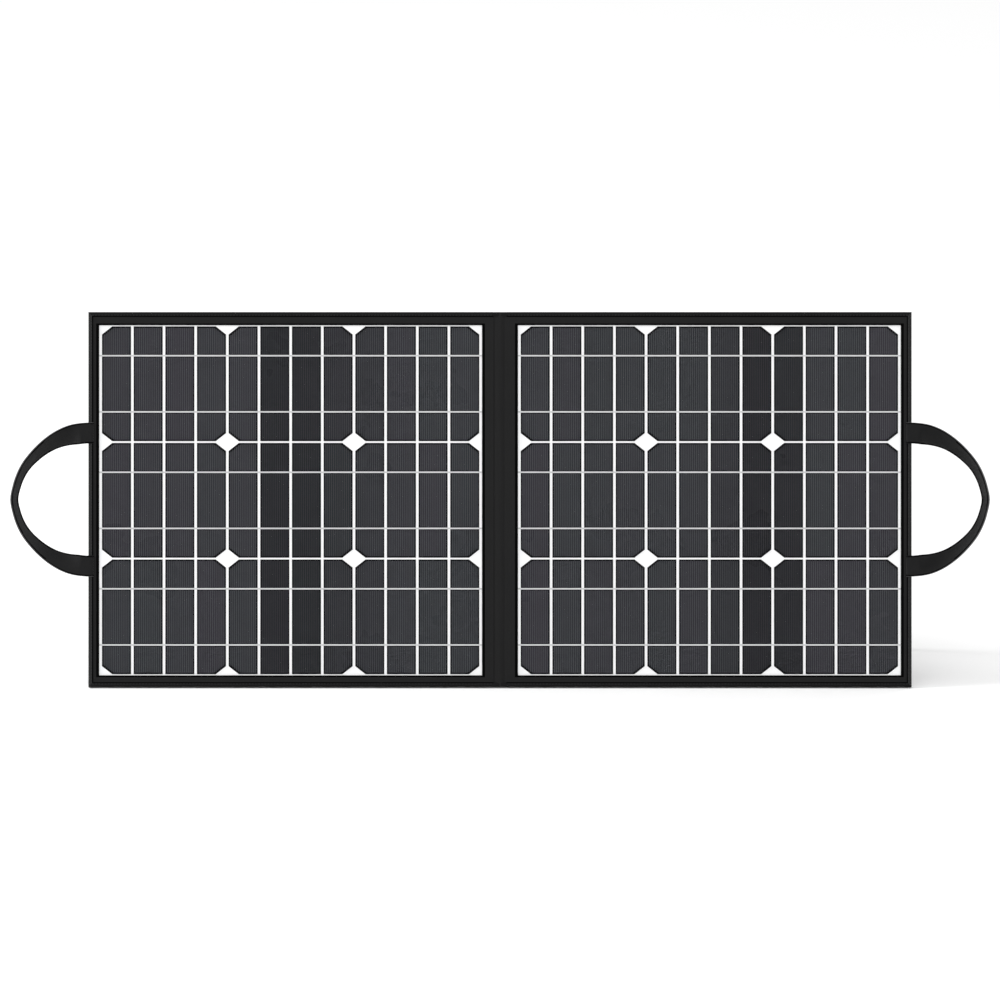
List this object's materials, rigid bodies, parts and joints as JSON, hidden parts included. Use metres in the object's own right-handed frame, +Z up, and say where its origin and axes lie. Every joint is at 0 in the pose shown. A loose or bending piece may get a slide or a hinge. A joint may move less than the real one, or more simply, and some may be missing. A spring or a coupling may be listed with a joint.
{
  "type": "folding solar panel",
  "caption": "Two-leaf fabric solar panel opened flat on rear legs, with dark cell strips, a soft fold and a webbing handle at each end.",
  "frame": {"origin": "centre of the footprint on the floor, under the middle of the bounding box", "axes": "+X along the opened panel to the viewer's right, +Y away from the viewer towards the legs, +Z up"},
  "size_m": [1.071, 0.1662, 0.3977],
  "materials": {
    "fabric": "woven polyester, matt",
    "binding": "ribbed binding tape",
    "webbing": "flat woven webbing",
    "board": "moulded sheet",
    "backsheet": "white laminate",
    "cell": "dark silicon under film",
    "ribbon": "tinned ribbon",
    "film": "clear gloss film",
    "cable": "flat jacket",
    "leg_board": "fabric-faced board",
    "hinge_plastic": "moulded nylon",
    "rivet": "satin",
    "foot_rubber": "ribbed",
    "zip_nylon": "nylon coil",
    "zip_metal": "dark nickel",
    "case_plastic": "fine textured",
    "circuit": "solder mask",
    "socket_metal": "stamped shell",
    "socket_plastic": "moulded",
    "lens": "clear green",
    "screw_steel": "zinc plated"
  },
  "bodies": {
    "left_leaf": {"left_back_cover": "fabric", "left_board": "board", "left_backsheet": "backsheet", "left_cells": "cell", "left_ribbons": "ribbon", "left_row_links": "ribbon", "left_front_film": "film", "left_front_frame": "fabric", "left_binding": "binding", "left_handle_ends": "webbing", "left_leg_hinge": "hinge_plastic", "left_leg_rivets": "rivet", "left_leg_stay": "webbing", "pocket_body": "fabric", "zip_tape": "webbing", "zip_coil": "zip_nylon", "controller_case": "case_plastic", "controller_lid": "case_plastic", "indicator_lens": "lens", "controller_board": "circuit", "outlet_jack": "socket_plastic", "usb_port": "socket_metal", "lid_screws": "screw_steel"},
    "spine": {"spine_cover": "fabric", "spine_lining": "fabric", "link_cable": "cable"},
    "right_leaf": {"right_back_cover": "fabric", "right_board": "board", "right_backsheet": "backsheet", "right_cells": "cell", "right_ribbons": "ribbon", "right_row_links": "ribbon", "right_front_film": "film", "right_front_frame": "fabric", "right_binding": "binding", "right_handle_ends": "webbing", "right_leg_hinge": "hinge_plastic", "right_leg_rivets": "rivet", "right_leg_stay": "webbing"},
    "left_handle": {"left_handle_loop": "webbing"},
    "left_leg": {"left_leg": "leg_board", "left_leg_foot": "foot_rubber"},
    "right_handle": {"right_handle_loop": "webbing"},
    "right_leg": {"right_leg": "leg_board", "right_leg_foot": "foot_rubber"},
    "zip_slider": {"zip_slider": "zip_metal"},
    "zip_pull": {"zip_pull": "zip_metal"}
  },
  "joints": [
    {"name": "spine_fold", "type": "hinge", "parent": "left_leaf", "child": "spine", "pos_m": [-0.007, -0.02522, 0.19838], "axis": [0, -0.2588, -0.9659], "range_deg": [0, 90], "deforming": ["spine_lining", "link_cable"]},
    {"name": "leaf_fold", "type": "hinge", "parent": "spine", "child": "right_leaf", "pos_m": [0.007, -0.02522, 0.19838], "axis": [0, -0.2588, -0.9659], "range_deg": [0, 90]},
    {"name": "left_handle_swing", "type": "hinge", "parent": "left_leaf", "child": "left_handle", "pos_m": [-0.452, -0.03068, 0.19984], "axis": [0, -0.2588, -0.9659], "range_deg": [-75, 90]},
    {"name": "right_handle_swing", "type": "hinge", "parent": "right_leaf", "child": "right_handle", "pos_m": [0.452, -0.03068, 0.19984], "axis": [0, 0.2588, 0.9659], "range_deg": [-75, 90]},
    {"name": "left_leg_fold", "type": "hinge", "parent": "left_leaf", "child": "left_leg", "pos_m": [-0.33, 0.00918, 0.30822], "axis": [-1, 0, 0], "range_deg": [0, 28], "deforming": ["left_leg_stay"]},
    {"name": "right_leg_fold", "type": "hinge", "parent": "right_leaf", "child": "right_leg", "pos_m": [0.33, 0.00918, 0.30822], "axis": [-1, 0, 0], "range_deg": [0, 28], "deforming": ["right_leg_stay"]},
    {"name": "zip_run", "type": "slide", "parent": "left_leaf", "child": "zip_slider", "axis": [0, 0.2588, 0.9659], "range_m": [0, 0.13]},
    {"name": "zip_pull_swing", "type": "hinge", "parent": "zip_slider", "child": "zip_pull", "pos_m": [-0.062, -0.01775, 0.12173], "axis": [1, 0, 0], "range_deg": [-14, 130]}
  ]
}
